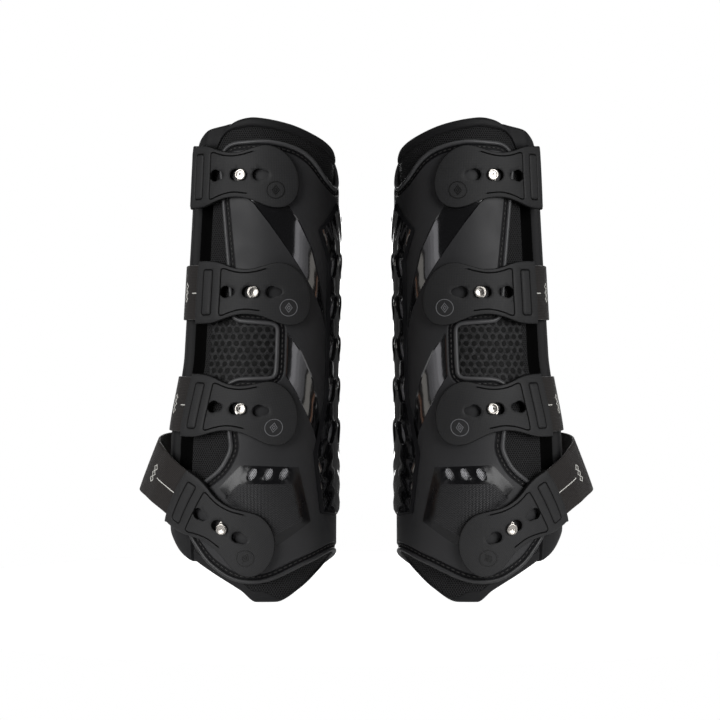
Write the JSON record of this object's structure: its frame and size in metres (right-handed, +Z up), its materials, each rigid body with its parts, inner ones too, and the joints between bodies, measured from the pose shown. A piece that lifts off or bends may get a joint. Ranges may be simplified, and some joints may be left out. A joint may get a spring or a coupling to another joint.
{
  "type": "tendon boots",
  "caption": "Pair of moulded tendon boots with padded liners, elastic straps, keyhole tabs and stud fastenings, for a horse's lower legs.",
  "frame": {"origin": "middle of the pair's footprint, on the surface that it stands on", "axes": "+Z up the legs, -Y towards the outer sides with the strap tabs, +X from the left boot to the right boot"},
  "size_m": [0.3156, 0.1122, 0.3211],
  "materials": {
    "neoprene": "smooth black neoprene with a fine knit face",
    "mesh": "black open air mesh",
    "shell": "fine textured charcoal with polished black stripes",
    "gloss": "polished black",
    "piping": "satin dark grey",
    "rubber": "fine grained charcoal rubber",
    "elastic": "ribbed woven elastic, brown black",
    "stud": "polished nickel",
    "washer": "plain"
  },
  "bodies": {
    "left_boot": {"left_elastic_anchor_1": "elastic", "left_elastic_anchor_2": "elastic", "left_elastic_anchor_3": "elastic", "left_elastic_anchor_4": "elastic", "left_front_flap": "neoprene", "left_hem_binding": "neoprene", "left_inner_pad": "neoprene", "left_mesh_cover": "mesh", "left_shell": "shell", "left_shell_piping": "piping", "left_stud_1": "stud", "left_stud_2": "stud", "left_stud_3": "stud", "left_stud_4": "stud", "left_stud_washer_1": "washer", "left_stud_washer_2": "washer", "left_stud_washer_3": "washer", "left_stud_washer_4": "washer", "left_tendon_guard": "gloss", "left_top_cuff": "neoprene"},
    "right_boot": {"right_elastic_anchor_1": "elastic", "right_elastic_anchor_2": "elastic", "right_elastic_anchor_3": "elastic", "right_elastic_anchor_4": "elastic", "right_front_flap": "neoprene", "right_hem_binding": "neoprene", "right_inner_pad": "neoprene", "right_mesh_cover": "mesh", "right_shell": "shell", "right_shell_piping": "piping", "right_stud_1": "stud", "right_stud_2": "stud", "right_stud_3": "stud", "right_stud_4": "stud", "right_stud_washer_1": "washer", "right_stud_washer_2": "washer", "right_stud_washer_3": "washer", "right_stud_washer_4": "washer", "right_tendon_guard": "gloss", "right_top_cuff": "neoprene"},
    "left_strap_1": {"left_elastic_1": "elastic"},
    "left_tab_1": {"left_strap_tab_1": "rubber"},
    "left_strap_2": {"left_elastic_2": "elastic"},
    "left_tab_2": {"left_strap_tab_2": "rubber"},
    "left_strap_3": {"left_elastic_3": "elastic"},
    "left_tab_3": {"left_strap_tab_3": "rubber"},
    "left_strap_4": {"left_elastic_4": "elastic"},
    "left_tab_4": {"left_strap_tab_4": "rubber"},
    "right_strap_1": {"right_elastic_1": "elastic"},
    "right_tab_1": {"right_strap_tab_1": "rubber"},
    "right_strap_2": {"right_elastic_2": "elastic"},
    "right_tab_2": {"right_strap_tab_2": "rubber"},
    "right_strap_3": {"right_elastic_3": "elastic"},
    "right_tab_3": {"right_strap_tab_3": "rubber"},
    "right_strap_4": {"right_elastic_4": "elastic"},
    "right_tab_4": {"right_strap_tab_4": "rubber"}
  },
  "joints": [
    {"name": "right_boot_lift", "type": "slide", "parent": "left_boot", "child": "right_boot", "axis": [0, 0, 1], "range_m": [0, 0.1]},
    {"name": "left_strap_1_swing", "type": "hinge", "parent": "left_boot", "child": "left_strap_1", "pos_m": [-0.09021, 0.03871, 0.28264], "axis": [0, 0, -1], "range_deg": [0, 100]},
    {"name": "left_tab_1_stretch", "type": "hinge", "parent": "left_strap_1", "child": "left_tab_1", "pos_m": [-0.06314, 0.01851, 0.28127], "axis": [0.0094, 0.0132, 0.9999], "range_deg": [0, 3.7], "stiffness_Nm_per_rad": 1, "deforming": ["left_elastic_1"]},
    {"name": "left_strap_2_swing", "type": "hinge", "parent": "left_boot", "child": "left_strap_2", "pos_m": [-0.09353, 0.0408, 0.20566], "axis": [0, 0, -1], "range_deg": [0, 100]},
    {"name": "left_tab_2_stretch", "type": "hinge", "parent": "left_strap_2", "child": "left_tab_2", "pos_m": [-0.06555, 0.02042, 0.2044], "axis": [0.0097, 0.0075, 0.9999], "range_deg": [0, 3.6], "stiffness_Nm_per_rad": 1, "deforming": ["left_elastic_2"]},
    {"name": "left_strap_3_swing", "type": "hinge", "parent": "left_boot", "child": "left_strap_3", "pos_m": [-0.09894, 0.04621, 0.13086], "axis": [0, 0, -1], "range_deg": [0, 100]},
    {"name": "left_tab_3_stretch", "type": "hinge", "parent": "left_strap_3", "child": "left_tab_3", "pos_m": [-0.07112, 0.01884, 0.11878], "axis": [0.1147, 0.1101, 0.9873], "range_deg": [0, 3.4], "stiffness_Nm_per_rad": 1, "deforming": ["left_elastic_3"]},
    {"name": "left_strap_4_swing", "type": "hinge", "parent": "left_boot", "child": "left_strap_4", "pos_m": [-0.09346, 0.05398, 0.09218], "axis": [0, 0, -1], "range_deg": [0, 100]},
    {"name": "left_tab_4_stretch", "type": "hinge", "parent": "left_strap_4", "child": "left_tab_4", "pos_m": [-0.06418, 0.04792, 0.0561], "axis": [0.5117, -0.2137, 0.8321], "range_deg": [0, 2.4], "stiffness_Nm_per_rad": 1, "deforming": ["left_elastic_4"]},
    {"name": "right_strap_1_swing", "type": "hinge", "parent": "right_boot", "child": "right_strap_1", "pos_m": [0.09021, 0.03871, 0.28264], "axis": [0, 0, 1], "range_deg": [0, 100]},
    {"name": "right_tab_1_stretch", "type": "hinge", "parent": "right_strap_1", "child": "right_tab_1", "pos_m": [0.06314, 0.01851, 0.28127], "axis": [0.0094, -0.0132, -0.9999], "range_deg": [0, 3.7], "stiffness_Nm_per_rad": 1, "deforming": ["right_elastic_1"]},
    {"name": "right_strap_2_swing", "type": "hinge", "parent": "right_boot", "child": "right_strap_2", "pos_m": [0.09353, 0.0408, 0.20566], "axis": [0, 0, 1], "range_deg": [0, 100]},
    {"name": "right_tab_2_stretch", "type": "hinge", "parent": "right_strap_2", "child": "right_tab_2", "pos_m": [0.06555, 0.02042, 0.2044], "axis": [0.0097, -0.0075, -0.9999], "range_deg": [0, 3.6], "stiffness_Nm_per_rad": 1, "deforming": ["right_elastic_2"]},
    {"name": "right_strap_3_swing", "type": "hinge", "parent": "right_boot", "child": "right_strap_3", "pos_m": [0.09894, 0.04621, 0.13086], "axis": [0, 0, 1], "range_deg": [0, 100]},
    {"name": "right_tab_3_stretch", "type": "hinge", "parent": "right_strap_3", "child": "right_tab_3", "pos_m": [0.07112, 0.01884, 0.11878], "axis": [0.1147, -0.1101, -0.9873], "range_deg": [0, 3.4], "stiffness_Nm_per_rad": 1, "deforming": ["right_elastic_3"]},
    {"name": "right_strap_4_swing", "type": "hinge", "parent": "right_boot", "child": "right_strap_4", "pos_m": [0.09346, 0.05398, 0.09218], "axis": [0, 0, 1], "range_deg": [0, 100]},
    {"name": "right_tab_4_stretch", "type": "hinge", "parent": "right_strap_4", "child": "right_tab_4", "pos_m": [0.06418, 0.04792, 0.0561], "axis": [0.5117, 0.2137, -0.8321], "range_deg": [0, 2.4], "stiffness_Nm_per_rad": 1, "deforming": ["right_elastic_4"]}
  ]
}
